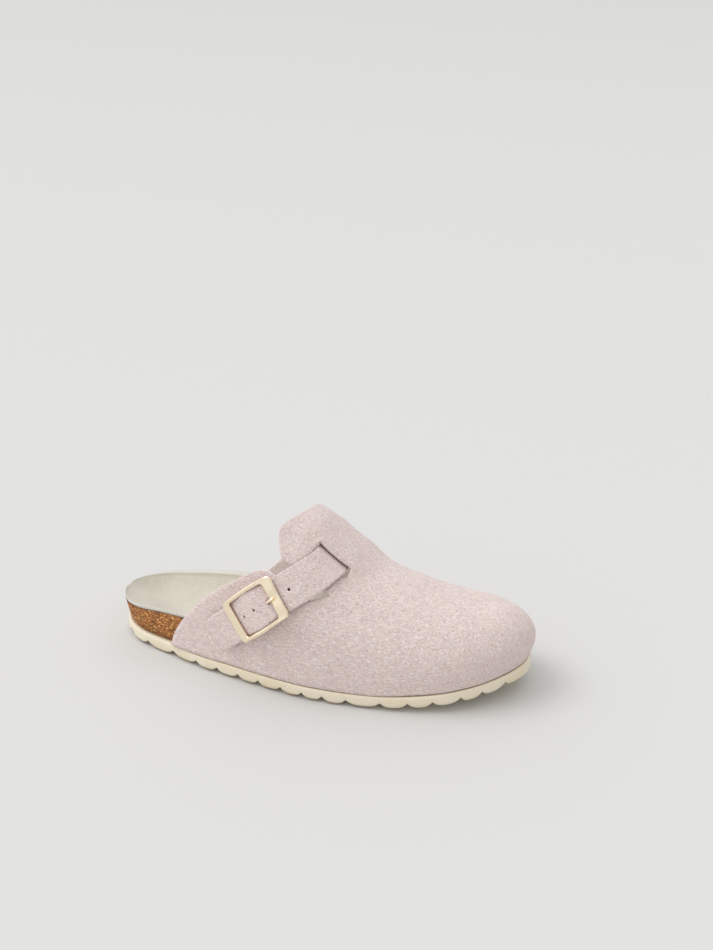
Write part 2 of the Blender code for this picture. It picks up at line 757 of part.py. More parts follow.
def bulged(point, reach):
    u, v = point
    return u, v + math.copysign(BUCKLE_SIDE_BULGE, v) * (1 - (u / reach) ** 2) if abs(v) > 0.004 else v


def build_buckle_frame(made_of, track, hinge):
    """The square frame, with a bar across its middle that stands below the strap."""
    reach = BUCKLE_LENGTH / 2
    spread = (0.14, 0.30, 0.42, 0.5, 0.58, 0.70, 0.86)
    outer = rounded_box(-reach, reach, BUCKLE_WIDTH / 2, 0.0022, spread)
    inner = rounded_box(-reach + BUCKLE_NEAR_BAR, reach - BUCKLE_FAR_BAR,
                        BUCKLE_WIDTH / 2 - BUCKLE_SIDE_WIDTH, 0.0014, spread)
    sections = []
    for out, into in zip(outer, inner):
        out, into = bulged(out, reach), bulged(into, reach)
        crown = BUCKLE_CROWN * (1 - (out[0] / reach) ** 2)
        low = BUCKLE_UNDERSIDE + crown
        notch = PRONG_NOTCH if out[0] < 0 and abs(out[1]) < 0.0022 else 0.0
        high = low + BUCKLE_BAR_THICKNESS - notch
        width = math.dist(out, into)
        bevel = BUCKLE_BEVEL

        def spot(share, height):
            u, v = mix(out[0], into[0], share), mix(out[1], into[1], share)
            return track.place(hinge + u, v, height)

        side = 1.4 * bevel / width
        foot = 0.5 * bevel / width
        sections.append([spot(0, low + bevel / 2), spot(0, high - bevel), spot(side, high), spot(1 - side, high),
                         spot(1, high - bevel), spot(1, low + bevel / 2), spot(1 - foot, low), spot(foot, low)])
    count = len(sections[0])
    points = [p for section in sections for p in section]
    faces = []
    for i in range(len(sections)):
        k = (i + 1) % len(sections)
        for j in range(count):
            m = (j + 1) % count
            faces.append((i * count + j, i * count + m, k * count + m, k * count + j))
    frame = link("buckle_frame", mesh_from("buckle_frame", points, faces), made_of, 35)
    rail = BUCKLE_WIDTH / 2 + BUCKLE_SIDE_BULGE - BUCKLE_SIDE_WIDTH / 2
    low, up = HINGE_HEIGHT, BUCKLE_UNDERSIDE + BUCKLE_CROWN + BUCKLE_BAR_THICKNESS / 2
    path = [(0, -rail, up), (0, -rail, low + 0.0012), (0, -rail + 0.0004, low + 0.0004), (0, -rail + 0.0012, low)]
    path += [(0, rail * at, low) for at in (-0.6, -0.3, 0.0, 0.3, 0.6)]
    path += [(0, rail - 0.0012, low), (0, rail - 0.0004, low + 0.0004), (0, rail, low + 0.0012), (0, rail, up)]
    cut(frame, "buckle_bar", tube("buckle_bar", track, hinge, path, [HINGE_RADIUS] * len(path), 10, (1, 0, 0)), "UNION")
    return frame


def tube(name, track, hinge, path, radii, sides, beside):
    """A round bar along a path in the buckle's frame. All of the path is square to one direction."""
    beside = Vector(beside)
    sections = []
    for i, at in enumerate(path):
        before, after = Vector(path[max(0, i - 1)]), Vector(path[min(len(path) - 1, i + 1)])
        ahead = (after - before).normalized()
        up = ahead.cross(beside).normalized()
        ring = []
        for j in range(sides):
            turn = 2 * math.pi * j / sides
            point = Vector(at) + radii[i] * (beside * math.cos(turn) + up * math.sin(turn))
            ring.append(track.place(hinge + point.x, point.y, point.z))
        sections.append(ring)
    return loft(name, sections)


def build_prong(made_of, track, hinge):
    """The prong: a wire looped under the bar, up through the strap's hole and on to the frame's near bar."""
    path = []
    loop = HINGE_RADIUS + PRONG_CLEARANCE + PRONG_RADIUS
    for degrees in range(80, -91, -17):
        turn = math.radians(degrees)
        path.append((loop * math.cos(turn), 0.0, HINGE_HEIGHT + loop * math.sin(turn)))
    hole = -PRONG_HOLE_OFFSET
    rest = BUCKLE_UNDERSIDE + BUCKLE_BAR_THICKNESS + PRONG_TIP_RADIUS - PRONG_NOTCH + BUCKLE_CROWN / 2
    path += [(-0.0022, 0.0, HINGE_HEIGHT - loop + 0.0002), (-0.0044, 0.0, HINGE_HEIGHT - loop + 0.0005),
             (hole + 0.0018, 0.0, HINGE_HEIGHT - loop + 0.0007), (hole + 0.0005, 0.0, 0.0023),
             (hole, 0.0, 0.0036), (hole, 0.0, 0.0060), (hole - 0.0002, 0.0, rest - 0.0012),
             (hole - 0.0010, 0.0, rest - 0.0001), (hole - 0.0024, 0.0, rest + 0.0003),
             (hole - 0.0038, 0.0, rest + 0.0003), (hole - 0.0048, 0.0, rest + 0.0001)]
    thick = [PRONG_RADIUS] * (len(path) - 7) + [PRONG_TIP_RADIUS] * 6 + [PRONG_RADIUS]
    return link("buckle_prong", tube("buckle_prong", track, hinge, path, thick, 10, (0, 1, 0)), made_of, 50)


def build_tab(made_of, track, hinge):
    """The felt tab folded round the buckle's bar, under the strap, open in its middle for the prong."""
    bore = HINGE_RADIUS + PRONG_CLEARANCE
    wrap = bore + TAB_FELT
    base = HINGE_HEIGHT - wrap
    outer, inner = [], []
    for degrees in range(70, 271, 20):
        turn = math.radians(degrees)
        outer.append((wrap * math.cos(turn), HINGE_HEIGHT + wrap * math.sin(turn)))
        inner.append(turn)
    tail_top = base + 2 * TAB_FELT
    lower = [(at, base) for at in (0.0025, 0.0060, 0.0100, TAB_TAIL)]
    upper = [(at, tail_top) for at in (TAB_TAIL, 0.0100, 0.0060, 0.0036)]
    outer += lower + upper
    inner += [math.radians(at) for at in (295, 312, 328, 345, 372, 388, 404, 418)]
    ring = len(outer)
    points, faces = [], []
    stations = (-1.0, -0.6, -0.2, 0.2, 0.6, 1.0)
    for at in stations:
        v = at * TAB_WIDTH / 2
        points += [track.place(hinge + u, v, h) for u, h in outer]
        points += [track.place(hinge + bore * math.cos(turn), v, HINGE_HEIGHT + bore * math.sin(turn))
                   for turn in inner]
    for s in range(len(stations) - 1):
        a, b = s * 2 * ring, (s + 1) * 2 * ring
        for i in range(ring):
            k = (i + 1) % ring
            faces.append((a + i, a + k, b + k, b + i))
            faces.append((a + ring + i, b + ring + i, b + ring + k, a + ring + k))
    for s in (0, len(stations) - 1):
        a = s * 2 * ring
        for i in range(ring):
            k = (i + 1) % ring
            faces.append((a + i, a + ring + i, a + ring + k, a + k))
    tab = link("buckle_tab", mesh_from("buckle_tab", points, faces), made_of, 40)
    sections = []
    for u in (-0.0045, -0.0015, 0.0010, 0.0038):
        sections.append([track.place(hinge + u, v, h)
                         for v, h in ((-0.0016, -0.001), (0.0016, -0.001), (0.0016, 0.008), (-0.0016, 0.008))])
    cut(tab, "prong_room", loft("prong_room", sections))
    return tab


def build_rivet(made_of, track, rivet, upper):
    """The rivet that fixes the strap on the inner side, with its cap inside the upper."""
    top = OUTSIDE + STRAP_THICKNESS / 2 + PIECE_GAP
    low = -UPPER_THICKNESS - PIECE_GAP
    rings = ((0.0, low - 0.0010), (0.0030, low - 0.0010), (0.0036, low - 0.0006), (0.0036, low),
             (RIVET_SHANK_RADIUS, low), (RIVET_SHANK_RADIUS, top), (RIVET_RADIUS, top),
             (RIVET_RADIUS, top + 0.0006), (RIVET_RADIUS - 0.0006, top + RIVET_HEIGHT),
             (RIVET_RADIUS - 0.0014, top + RIVET_HEIGHT), (RIVET_RADIUS - 0.0020, top + RIVET_HEIGHT - 0.0006),
             (0.0, top + RIVET_HEIGHT - 0.0006))
    centre = track.place(rivet, 0.0, 0.0)
    axis = (track.place(rivet, 0.0, 0.004) - centre).normalized()
    first = axis.orthogonal().normalized()
    second = axis.cross(first)
    sides = 20
    sections = []
    for radius, height in rings:
        radius = max(radius, 0.00002)
        sections.append([centre + axis * height + radius * (first * math.cos(2 * math.pi * i / sides)
                                                            + second * math.sin(2 * math.pi * i / sides))
                         for i in range(sides)])
    made = link("strap_rivet", loft("strap_rivet", sections), made_of, 35)
    cut(upper, "upper_rivet_hole",
        rod("upper_rivet_hole", track, ((rivet, 0.0, -0.006), (rivet, 0.0, 0.002)), RIVET_SHANK_RADIUS + PIECE_GAP))
    return made


def centre_on_floor():
    """Moves every mesh so that the middle of the whole shoe's bounding box stands over the origin, on Z = 0."""
    graph = bpy.context.evaluated_depsgraph_get()
    corners = []
    for obj in bpy.data.objects:
        if not obj.hide_render:
            shown = obj.evaluated_get(graph)
            corners += [v.co.copy() for v in shown.to_mesh().vertices]
            shown.to_mesh_clear()
    low = [min(c[i] for c in corners) for i in range(3)]
    high = [max(c[i] for c in corners) for i in range(3)]
    shift = Matrix.Translation((-(low[0] + high[0]) / 2, -(low[1] + high[1]) / 2, -low[2]))
    for obj in bpy.data.objects:
        obj.data.transform(shift)


def main():
    for old in list(bpy.data.objects):
        bpy.data.objects.remove(old, do_unlink=True)
    rubber = material("outsole_foam", (0.76, 0.72, 0.60), 0.75)
    cork = material("cork", (0.42, 0.27, 0.16), 0.85)
    suede = material("suede_lining", (0.60, 0.57, 0.49), 0.95)
    felt = material("wool_felt", (0.70, 0.57, 0.56), 0.97)
    strap_felt = material("strap_felt", (0.70, 0.57, 0.56), 0.97)
    gold = material("pale_gold", (0.80, 0.70, 0.50), 0.32, 1.0)
    build_outsole(rubber)
    build_footbed(cork)
    build_lining(suede)
    upper = build_upper(felt)
    lateral, medial = Track(LATERAL), Track(MEDIAL)
    hinge = lateral.run_at(BUCKLE_SHARE)
    rivet = medial.run_at(RIVET_SHARE)
    build_strap(strap_felt, lateral, medial, hinge, rivet)
    build_buckle_frame(gold, lateral, hinge)
    build_prong(gold, lateral, hinge)
    build_tab(felt, lateral, hinge)
    build_rivet(gold, medial, rivet, upper)
    centre_on_floor()


main()
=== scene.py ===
"""The looks of the felt clog slipper: finishes, softened edges, loose fibres, floor, light, camera.

Each visible piece is a subdivided copy of the CAD node that it replaces, apart from the
loose fibres on the felt. Lengths are in metres and angles in degrees.
"""
import math
import random

import bmesh
import bpy
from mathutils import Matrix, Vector


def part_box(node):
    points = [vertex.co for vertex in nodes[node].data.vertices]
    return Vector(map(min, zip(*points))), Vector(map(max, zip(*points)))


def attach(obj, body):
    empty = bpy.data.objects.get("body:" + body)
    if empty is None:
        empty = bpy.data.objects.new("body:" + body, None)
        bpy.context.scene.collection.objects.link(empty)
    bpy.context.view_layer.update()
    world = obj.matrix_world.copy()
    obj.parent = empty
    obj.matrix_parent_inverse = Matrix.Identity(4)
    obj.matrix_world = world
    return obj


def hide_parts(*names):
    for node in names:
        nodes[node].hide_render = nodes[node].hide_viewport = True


# The camera, placed from the middle of the heel's back, on the floor
CAMERA_FROM_HEEL = (0.4257, -0.7370, 0.4786)
CAMERA_HEEL_TO_OUTER_SIDE = 0.0501
CAMERA_TURN, CAMERA_PITCH = 20.40, 24.25
CAMERA_LENS, CAMERA_SENSOR = 57.03, 36.0
CAMERA_NEAR, CAMERA_FAR = 0.01, 50.0

# Light: a sky that is brightest on one side, and a wide soft window
SKY_COLOUR = (1.0, 1.0, 0.995)
SKY_BRIGHT_FROM = (-0.75, 0.05, 0.65)
SKY_DIM, SKY_BRIGHT = 0.44, 1.10
WINDOW_FROM = (-0.9, -0.25, 1.4)
WINDOW_STRENGTH, WINDOW_WIDTH = 0.84, 35

# Floor: half its side, the distance over which painted shade darkens it, and how dark it gets
FLOOR_HALF = 60.0
FLOOR_FADE_LENGTH, FLOOR_FAR_SHADE = 5.0, 0.86

# From CAD mesh to soft piece: CAD node -> piece, material slot, the angle from which an
# edge counts as hard, how strongly a hard edge is creased, and how often it is subdivided
WELD_DISTANCE = 2e-6
QUAD_FACE_ANGLE, QUAD_SHAPE_ANGLE = 30, 60
CREASE = "crease_edge"
PIECES = {
    "upper": ("upper_felt", "wool_felt", 48, 0.72, 2),
    "strap": ("strap_band", "strap_felt", 50, 0.70, 2),
    "buckle_tab": ("buckle_tab_felt", "wool_felt", 50, 0.70, 1),
    "outsole": ("outsole_foam_body", "outsole_foam", 38, 0.55, 2),
    "footbed": ("footbed_cork", "cork", 50, 0.85, 2),
    "insole_lining": ("insole_suede", "suede_lining", 50, 0.80, 2),
    "buckle_frame": ("buckle_frame_gold", "pale_gold", 28, 0.94, 2),
    "buckle_prong": ("buckle_prong_gold", "pale_gold", 28, 0.94, 1),
    "strap_rivet": ("strap_rivet_gold", "pale_gold", 28, 0.94, 1),
}

# Felt sheets: the widest face that is still a cut edge, the unevenness of the surface, and
# the point inside the shoe from which its inner faces are told
FELT_EDGE_MAX = 0.0040
WAVE_SIZE, UPPER_WAVE_DEPTH, STRAP_WAVE_DEPTH = 0.020, 0.0007, 0.0002
INSIDE_HEIGHT, TOE_MIDDLE = 0.035, 0.070
# Material slots: the felt, its cut edge with painted highlight, and its inner faces lightened as
# painted light
MAIN_FELT, EDGE_FELT, PAINTED_LIGHT_INSIDE_FELT = 0, 1, 2

# Loose fibres: size, how they stand off and bend, and how many there are on each piece
FIBRE_LENGTH, FIBRE_WIDTH = 0.0015, 0.00004
FIBRE_LENGTH_SHARE = (0.5, 1.25)
FIBRE_RISE, FIBRE_BEND = (0.15, 0.75), (-0.5, 0.5)
FIBRE_ARC, FIBRE_TAPER, FIBRE_STEPS = 2.2, 0.6, 3
UPPER_FIBRES, UPPER_SEED = 24000, 7
STRAP_FIBRES, STRAP_SEED = 4500, 11

# The lining's paler band, painted highlight, and the painted shade by it: the stored distance from
# its edge, and what counts as upright
RIM_ATTRIBUTE = "rim"
UPRIGHT_NORMAL = 0.5

# Painted shade near other surfaces: how near another surface must be, samples, and the shades at
# full depth
PAINTED_SHADE_REACH, PAINTED_SHADE_SAMPLES = 0.0034, 6
FELT_PAINTED_SHADE = (0.32, 0.22, 0.20)
EDGE_PAINTED_SHADE = (0.62, 0.50, 0.48)
FOAM_PAINTED_SHADE = (0.50, 0.40, 0.31)

# Colours, linear
PINK = (0.762, 0.612, 0.578)
PINK_PEACH = (0.820, 0.668, 0.612)
PINK_MAUVE = (0.690, 0.600, 0.612)
PINK_DARK = (0.515, 0.392, 0.397)
PINK_LIGHT = (0.900, 0.810, 0.790)
# cut edge: paler wool, partly its own colour and partly painted highlight
CUT_EDGE_PINK_AND_HIGHLIGHT = (0.920, 0.845, 0.825)
# inner faces: lighter than the felt, as painted light
INSIDE_PAINTED_LIGHT_PINK = (0.940, 0.830, 0.805)
RUST = (0.520, 0.330, 0.300)
CREAM = (0.890, 0.805, 0.650)
CREAM_WARMTH = (0.96, 0.93, 0.84)
SUEDE = (0.680, 0.642, 0.550)
# painted highlight along the lining's turned edge
SUEDE_RIM_PAINTED_HIGHLIGHT = (0.790, 0.765, 0.690)
SUEDE_DARKER, SUEDE_LIGHTER = 0.90, 1.07
GOLD = (0.985, 0.850, 0.640)
FLOOR_GREY = (0.680, 0.677, 0.667)
CORK_GRAINS = (
    (0.00, (0.150, 0.055, 0.014)),
    (0.12, (0.190, 0.068, 0.018)),
    (0.20, (0.330, 0.122, 0.032)),
    (0.55, (0.430, 0.165, 0.042)),
    (0.86, (0.540, 0.230, 0.062)),
    (0.96, (0.840, 0.500, 0.180)),
)

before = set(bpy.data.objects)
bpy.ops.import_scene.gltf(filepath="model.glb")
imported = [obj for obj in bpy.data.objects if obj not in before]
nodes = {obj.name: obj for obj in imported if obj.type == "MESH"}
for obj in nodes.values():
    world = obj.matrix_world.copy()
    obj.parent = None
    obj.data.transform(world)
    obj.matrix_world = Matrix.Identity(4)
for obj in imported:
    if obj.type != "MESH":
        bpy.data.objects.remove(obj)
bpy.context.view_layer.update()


def grey(level):
    """A neutral colour, also used as the share of a mix."""
    return (level, level, level)


NONE, ALL = grey(0.0), grey(1.0)


def shaded(colour, factors):
    """A colour times a factor for each of its channels."""
    return tuple(value * factor for value, factor in zip(colour, factors))


def fill(tree, socket, value):
    """Links another node's output to a socket, or gives the socket a plain value."""
    if isinstance(value, bpy.types.NodeSocket):
        tree.links.new(value, socket)
    elif socket.type == "RGBA":
        socket.default_value = (*value, 1.0)
    else:
        socket.default_value = value


def add_node(tree, kind, inputs, **settings):
    """A new shader node with its settings made and its inputs filled."""
    node = tree.nodes.new(kind)
    for name, value in settings.items():
        setattr(node, name, value)
    for name, value in inputs.items():
        fill(tree, node.inputs[name], value)
    return node


class Shader:
    """A material under construction, with short calls for its common nodes."""

    def __init__(self, name, roughness, metallic=0.0):
        self.material = bpy.data.materials.new(name)
        self.material.use_nodes = True
        self.tree = self.material.node_tree
        self.surface = self.tree.nodes["Principled BSDF"]
        self.set({"Roughness": roughness, "Metallic": metallic})
        self.place = self.node("ShaderNodeTexCoord", {}).outputs["Object"]

    def node(self, kind, inputs, **settings):
        return add_node(self.tree, kind, inputs, **settings)

    def set(self, values):
        """Sets or links inputs of the material's surface."""
        for name, value in values.items():
            fill(self.tree, self.surface.inputs[name], value)

    def colour(self, value):
        self.set({"Base Color": value})

    def stretched(self, scale, turn=(0.0, 0.0, 0.0)):
        """The object's own coordinates, scaled and turned."""
        return self.node("ShaderNodeMapping", {
            "Scale": scale,
            "Rotation": [math.radians(angle) for angle in turn],
            "Vector": self.place,
        }).outputs["Vector"]

    def noise(self, scale, detail, roughness, vector=None):
        return self.node("ShaderNodeTexNoise", {
            "Scale": scale,
            "Detail": detail,
            "Roughness": roughness,
            "Vector": vector or self.place,
        }).outputs["Fac"]

    def cells(self, scale, vector):
        """Packed cells: the distance to the nearest middle, and a random colour for each."""
        node = self.node("ShaderNodeTexVoronoi", {"Scale": scale, "Vector": vector})
        return node.outputs["Distance"], node.outputs["Color"]

    def ramp(self, value, stops):
        """Turns a value into colours, by (position, colour) stops."""
        node = self.node("ShaderNodeValToRGB", {"Fac": value})
        elements = node.color_ramp.elements
        while len(elements) < len(stops):
            elements.new(0.5)
        for element, (position, colour) in zip(elements, stops):
            element.position = position
            element.color = (*colour, 1.0)
        return node.outputs["Color"]

    def mix(self, share, a, b, blend="MIX"):
        return self.node("ShaderNodeMix", {"Factor": share, "A": a, "B": b},
                         data_type="RGBA", blend_type=blend).outputs["Result"]

    def multiply(self, a, b):
        return self.mix(1.0, a, b, "MULTIPLY")

    def times(self, value, factor):
        return self.node("ShaderNodeMath", {0: value, 1: factor},
                         operation="MULTIPLY").outputs["Value"]

    def plus(self, total, *others):
        for value in others:
            total = self.node("ShaderNodeMath", {0: total, 1: value},
                              operation="ADD").outputs["Value"]
        return total

    def paint_shade_where_close(self, colour, darkest):
        """Paints shade into a colour where another surface lies close by."""
        node = self.node("ShaderNodeAmbientOcclusion", {"Distance": PAINTED_SHADE_REACH},
                         samples=PAINTED_SHADE_SAMPLES)
        return self.multiply(colour, self.ramp(node.outputs["AO"], ((0.25, darkest), (0.78, ALL))))

    def bump(self, height, distance, strength):
        node = self.node("ShaderNodeBump", {
            "Distance": distance, "Strength": strength, "Height": height})
        self.set({"Normal": node.outputs["Normal"]})


def felt(name, base, dark, painted_shade=FELT_PAINTED_SHADE):
    """Heathered wool felt: peach and mauve patches, matted pale fibres, flecks, a nap, and painted
    shade near other parts.
    """
    shader = Shader(name, 0.96)
    peach = shader.ramp(shader.noise(130, 4.0, 0.65), ((0.42, NONE), (0.66, grey(0.65))))
    skewed = shader.stretched((1.0, 1.15, 0.9), (40, 20, 70))
    mauve = shader.ramp(shader.noise(170, 4.0, 0.65, skewed), ((0.47, NONE), (0.68, grey(0.60))))
    streaks = [shader.noise(1.0, 2.0, 0.5, shader.stretched((260, 1500, 1500), turn))
               for turn in ((10, 25, 15), (60, 15, 80), (25, 70, 130))]
    fibres = shader.times(shader.plus(*streaks), 0.333)
    flecks = shader.noise(950, 3.0, 0.7)
    long_flecks = shader.noise(1250, 2.0, 0.6, shader.stretched((0.6, 1.2, 1.2), (15, 50, 35)))
    pale = shader.ramp(fibres, ((0.49, NONE), (0.57, grey(0.90))))
    deep = shader.ramp(flecks, ((0.33, grey(0.80)), (0.48, NONE)))
    rusty = shader.ramp(long_flecks, ((0.60, NONE), (0.72, grey(0.60))))
    colour = base
    for share, tint in ((peach, PINK_PEACH), (mauve, PINK_MAUVE), (pale, PINK_LIGHT),
                        (deep, dark), (rusty, RUST)):
        colour = shader.mix(share, colour, tint)
    # painted shade where another surface lies close by
    shader.colour(shader.paint_shade_where_close(colour, painted_shade))
    nap = shader.noise(90, 3.0, 0.6)
    shader.bump(shader.plus(fibres, shader.times(flecks, 0.5), shader.times(nap, 1.2)), 0.0012, 0.6)
    shader.set({"Sheen Weight": 0.25, "Sheen Roughness": 0.5, "Specular IOR Level": 0.12})
    return shader.material


def loose_wool(name):
    """The plain pale wool of the loose fibres."""
    shader = Shader(name, 0.9)
    shader.colour(PINK_LIGHT)
    return shader.material


def cork(name):
    """Ground cork: packed brown grains, some of dark bark and some ochre."""
    shader = Shader(name, 0.80)
    near, grain = shader.cells(880, shader.stretched((1.0, 1.0, 1.3)))
    tone = shader.noise(620, 2.0, 0.5)
    split = shader.node("ShaderNodeSeparateColor", {"Color": grain})
    grains = shader.ramp(split.outputs["Red"], CORK_GRAINS)
    clouds = shader.ramp(tone, ((0.30, (0.62, 0.60, 0.58)), (0.62, (1.12, 1.10, 1.06))))
    shader.colour(shader.multiply(grains, clouds))
    shader.bump(shader.plus(shader.times(near, 1.2), tone), 0.0006, 0.8)
    return shader.material


def suede(name):
    """Brushed suede with cloudy strokes and a fine nap, a paler band of painted highlight along its
    edge and painted shade by it.
    """
    shader = Shader(name, 0.95)
    strokes = shader.noise(45, 4.0, 0.6)
    nap = shader.noise(1500, 3.0, 0.6)
    colour = shader.ramp(strokes, (
        (0.32, shaded(SUEDE, grey(SUEDE_DARKER))),
        (0.52, SUEDE),
        (0.70, shaded(SUEDE, grey(SUEDE_LIGHTER)))))
    speck = shader.ramp(nap, ((0.30, (0.86, 0.85, 0.84)), (0.62, ALL)))
    inset = shader.node("ShaderNodeAttribute", {}, attribute_name=RIM_ATTRIBUTE).outputs["Fac"]
    # painted highlight: a paler band along the turned edge
    rim = shader.ramp(inset, ((0.42, ALL), (0.50, NONE)))
    # painted shade: a darker line just inside that band
    crease = shader.ramp(inset, ((0.44, ALL), (0.54, (0.86, 0.85, 0.83)), (1.0, ALL)))
    colour = shader.multiply(shader.mix(rim, colour, SUEDE_RIM_PAINTED_HIGHLIGHT), crease)
    shader.colour(shader.multiply(colour, speck))
    shader.bump(nap, 0.0004, 0.6)
    shader.set({"Sheen Weight": 0.35, "Specular IOR Level": 0.2})
    return shader.material


def foam(name):
    """Moulded cream foam rubber with a faint grain and small pores, and painted shade near other
    surfaces.
    """
    shader = Shader(name, 0.62)
    tone = shader.noise(60, 3.0, 0.55)
    grain = shader.noise(1300, 3.0, 0.6)
    colour = shader.ramp(tone, ((0.30, shaded(CREAM, CREAM_WARMTH)), (0.60, CREAM)))
    pores = shader.ramp(grain, ((0.28, (0.86, 0.84, 0.80)), (0.45, ALL)))
    # painted shade in the notches and where the foam meets other parts
    shader.colour(shader.paint_shade_where_close(shader.multiply(colour, pores), FOAM_PAINTED_SHADE))
    shader.bump(grain, 0.0003, 0.5)
    shader.set({"Specular IOR Level": 0.35})
    return shader.material


def satin_gold(name):
    """Pale gold plating with a satin polish."""
    shader = Shader(name, 0.18, metallic=1.0)
    shader.colour(GOLD)
    return shader.material


def plain_floor(name):
    """A seamless grey floor with painted shade, growing darker into the distance."""
    shader = Shader(name, 0.85)
    apart = shader.node("ShaderNodeSeparateXYZ", {"Vector": shader.place})
    far = shader.times(apart.outputs["Y"], 1 / FLOOR_FADE_LENGTH)
    dark = shaded(FLOOR_GREY, grey(FLOOR_FAR_SHADE))
    shader.colour(shader.ramp(far, ((0.0, FLOOR_GREY), (1.0, dark))))
    shader.set({"Specular IOR Level": 0.1})
    return shader.material


def add_object(name, data):
    """A new object in the scene."""
    made = bpy.data.objects.new(name, data)
    bpy.context.scene.collection.objects.link(made)
    return made


def soft_copy(node_name, materials, facets=False):
    """A piece made from a CAD node: welded, turned back to quads, creased and subdivided.

    With facets, the hard edges also break the shading, as on metal.
    """
    piece_name, slot, hard_angle, crease, levels = PIECES[node_name]
    mesh = nodes[node_name].data.copy()
    mesh.name = piece_name
    piece = add_object(piece_name, mesh)
    work = bmesh.new()
    work.from_mesh(mesh)
    bmesh.ops.remove_doubles(work, verts=work.verts, dist=WELD_DISTANCE)
    bmesh.ops.join_triangles(work, faces=work.faces,
                             angle_face_threshold=math.radians(QUAD_FACE_ANGLE),
                             angle_shape_threshold=math.radians(QUAD_SHAPE_ANGLE))
    layer = work.edges.layers.float.get(CREASE) or work.edges.layers.float.new(CREASE)
    for edge in work.edges:
        edge.smooth = True
        if edge.is_manifold and edge.calc_face_angle() > math.radians(hard_angle):
            edge[layer] = crease
            edge.smooth = not facets
    for face in work.faces:
        face.smooth = True
        face.material_index = 0
    work.to_mesh(mesh)
    work.free()
    mesh.materials.clear()
    for material in materials:
        mesh.materials.append(material)
    rounding = piece.modifiers.new("rounding", "SUBSURF")
    rounding.levels = rounding.render_levels = levels
    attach(piece, "root")
    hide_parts(node_name)
    return piece


def mark_cut_edges(piece):
    """Gives the narrow faces along a felt sheet's rim the material of its cut edge: paler wool,
    with painted highlight.
    """
    work = bmesh.new()
    work.from_mesh(piece.data)
    layer = work.edges.layers.float.get(CREASE)
    for face in work.faces:
        sharp = [edge for edge in face.edges if edge[layer] > 0]
        opposite = any(not set(a.verts) & set(b.verts) for a in sharp for b in sharp)
        longest = max(edge.calc_length() for edge in face.edges)
        if opposite and face.calc_area() / longest < FELT_EDGE_MAX:
            face.material_index = EDGE_FELT
    work.to_mesh(piece.data)
    work.free()


def mark_painted_light_inside(piece):
    """Gives the faces that look into the shoe a lighter felt, which is painted light."""
    work = bmesh.new()
    work.from_mesh(piece.data)
    for face in work.faces:
        middle = face.calc_center_median()
        inward = Vector((min(0.0, TOE_MIDDLE - middle.x), -middle.y, INSIDE_HEIGHT - middle.z))
        if face.material_index == MAIN_FELT and face.normal.dot(inward) > 0:
            face.material_index = PAINTED_LIGHT_INSIDE_FELT
    work.to_mesh(piece.data)
    work.free()


def mark_rim(piece):
    """Stores 0 at the vertices of a flat piece's upright faces, its edge, and 1 elsewhere."""
    values = [1.0] * len(piece.data.vertices)
    for face in piece.data.polygons:
        if abs(face.normal.z) < UPRIGHT_NORMAL:
            for number in face.vertices:
                values[number] = 0.0
    attribute = piece.data.attributes.new(RIM_ATTRIBUTE, "FLOAT", "POINT")
    attribute.data.foreach_set("value", values)


def wave(piece, depth):
    """A shallow unevenness, as of a felt sheet shaped by hand."""
    texture = bpy.data.textures.new(piece.name + "_wave", "CLOUDS")
    texture.noise_scale = WAVE_SIZE
    texture.noise_depth = 1
    change = piece.modifiers.new("wave", "DISPLACE")
    change.texture = texture
    change.strength = depth
    change.mid_level = 0.5


def random_spots(mesh, count, chance):
    """Places spread evenly over a mesh, each with its normal."""
    triangles = list(mesh.loop_triangles)
    areas = [triangle.area for triangle in triangles]
    for triangle in chance.choices(triangles, weights=areas, k=count):
        first, second, third = (mesh.vertices[i].co for i in triangle.vertices)
        a, b = chance.random(), chance.random()
        if a + b > 1:
            a, b = 1 - a, 1 - b
        yield first + (second - first) * a + (third - first) * b, triangle.normal.copy()


def ribbon(root, normal, chance):
    """The pairs of points along one thin, tapering, bent fibre that starts at root."""
    aside = Vector((chance.gauss(0, 1), chance.gauss(0, 1), chance.gauss(0, 1)))
    aside = (aside - normal * aside.dot(normal)).normalized()
    length = FIBRE_LENGTH * chance.uniform(*FIBRE_LENGTH_SHARE)
    rise = chance.uniform(*FIBRE_RISE)
    bend = chance.uniform(*FIBRE_BEND)
    across = normal.cross(aside).normalized()
    points = []
    for step in range(FIBRE_STEPS + 1):
        at = step / FIBRE_STEPS
        spot = (root + aside * length * at
                + normal * length * rise * math.sin(at * FIBRE_ARC)
                + across * length * bend * at * at)
        half = across * FIBRE_WIDTH / 2 * (1 - FIBRE_TAPER * at)
        points += [spot - half, spot + half]
    return points


def add_fibres(piece, name, count, seed, material):
    """Loose wool fibres that stand off a felt piece, all in one mesh."""
    shown = piece.evaluated_get(bpy.context.evaluated_depsgraph_get())
    mesh = shown.to_mesh()
    mesh.calc_loop_triangles()
    chance = random.Random(seed)
    points, faces = [], []
    for root, normal in random_spots(mesh, count, chance):
        start = len(points)
        points += ribbon(root, normal, chance)
        faces += [(k, k + 1, k + 3, k + 2) for k in range(start, start + 2 * FIBRE_STEPS, 2)]
    shown.to_mesh_clear()
    made = bpy.data.meshes.new(name)
    made.from_pydata([tuple(point) for point in points], [], faces)
    for face in made.polygons:
        face.use_smooth = True
    made.materials.append(material)
    fibres = add_object(name, made)
    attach(fibres, "root")


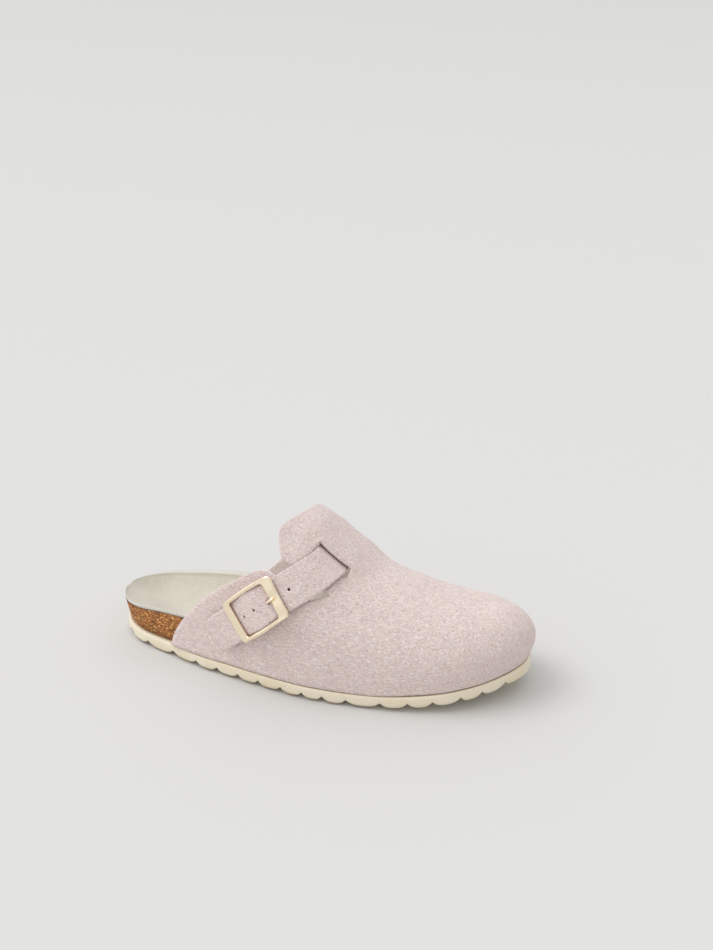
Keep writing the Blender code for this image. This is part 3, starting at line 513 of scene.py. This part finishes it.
def dress_felt():
    """The upper, the strap and the buckle's tab, with loose fibres on the first two."""
    wool = felt("wool_felt_look", PINK, PINK_DARK)
    # cut edges: paler wool with painted highlight, and weaker painted shade
    edge = felt("wool_felt_edge_and_highlight_look", CUT_EDGE_PINK_AND_HIGHLIGHT, PINK, EDGE_PAINTED_SHADE)
    loose = loose_wool("loose_wool_look")
    # the inner faces get a lighter felt as painted light
    upper = soft_copy("upper", (wool, edge, felt("wool_felt_painted_light_inside_look", INSIDE_PAINTED_LIGHT_PINK, PINK)))
    strap = soft_copy("strap", (wool, edge))
    soft_copy("buckle_tab", (wool,))
    mark_cut_edges(upper)
    mark_cut_edges(strap)
    mark_painted_light_inside(upper)
    wave(upper, UPPER_WAVE_DEPTH)
    wave(strap, STRAP_WAVE_DEPTH)
    add_fibres(upper, "upper_fibres", UPPER_FIBRES, UPPER_SEED, loose)
    add_fibres(strap, "strap_fibres", STRAP_FIBRES, STRAP_SEED, loose)


def dress_sole():
    """The outsole, the cork footbed and its suede lining."""
    soft_copy("outsole", (foam("outsole_foam_look"),))
    soft_copy("footbed", (cork("cork_look"),))
    mark_rim(soft_copy("insole_lining", (suede("suede_look"),)))


def dress_metal():
    """The buckle's frame and prong, and the strap's rivet."""
    gold = satin_gold("pale_gold_look")
    for node_name in ("buckle_frame", "buckle_prong", "strap_rivet"):
        soft_copy(node_name, (gold,), facets=True)


def lay_floor():
    """One large flat square under the shoe."""
    mesh = bpy.data.meshes.new("floor")
    corners = [(x * FLOOR_HALF, y * FLOOR_HALF, 0) for x, y in ((-1, -1), (1, -1), (1, 1), (-1, 1))]
    mesh.from_pydata(corners, [], [(0, 1, 2, 3)])
    mesh.materials.append(plain_floor("floor_look"))
    floor = add_object("floor", mesh)


def aim(thing, direction):
    """Turns a lamp or camera to look along a direction."""
    thing.rotation_mode = "QUATERNION"
    thing.rotation_quaternion = direction.to_track_quat("-Z", "Y")


def light_studio():
    """The sky, brightest over the heel and dimmest past the toe, and the window."""
    world = bpy.data.worlds.new("studio")
    world.use_nodes = True
    tree = world.node_tree
    place = add_node(tree, "ShaderNodeTexCoord", {})
    along = add_node(tree, "ShaderNodeVectorMath", {
        0: place.outputs["Generated"],
        1: Vector(SKY_BRIGHT_FROM).normalized(),
    }, operation="DOT_PRODUCT")
    strength = add_node(tree, "ShaderNodeMapRange", {
        "From Min": -1.0, "From Max": 1.0,
        "To Min": SKY_DIM, "To Max": SKY_BRIGHT,
        "Value": along.outputs["Value"],
    })
    sky = tree.nodes["Background"]
    fill(tree, sky.inputs["Color"], SKY_COLOUR)
    fill(tree, sky.inputs["Strength"], strength.outputs["Result"])
    bpy.context.scene.world = world
    sun = bpy.data.lights.new("window", "SUN")
    sun.energy = WINDOW_STRENGTH
    sun.angle = math.radians(WINDOW_WIDTH)
    aim(add_object("window", sun), -Vector(WINDOW_FROM))


def place_camera():
    """The photo's camera, at a fixed place from the heel."""
    low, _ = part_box("outsole")
    heel = Vector((low.x, low.y + CAMERA_HEEL_TO_OUTER_SIDE, 0.0))
    turn, pitch = math.radians(CAMERA_TURN), math.radians(CAMERA_PITCH)
    lens = bpy.data.cameras.new("camera")
    lens.lens = CAMERA_LENS
    lens.sensor_width = CAMERA_SENSOR
    lens.clip_start, lens.clip_end = CAMERA_NEAR, CAMERA_FAR
    camera = add_object("camera", lens)
    camera.location = heel + Vector(CAMERA_FROM_HEEL)
    aim(camera, Vector((-math.sin(turn) * math.cos(pitch),
                        math.cos(turn) * math.cos(pitch),
                        -math.sin(pitch))))
    bpy.context.scene.camera = camera


dress_felt()
dress_sole()
dress_metal()
lay_floor()
light_studio()
place_camera()
bpy.context.scene.view_settings.view_transform = "Standard"
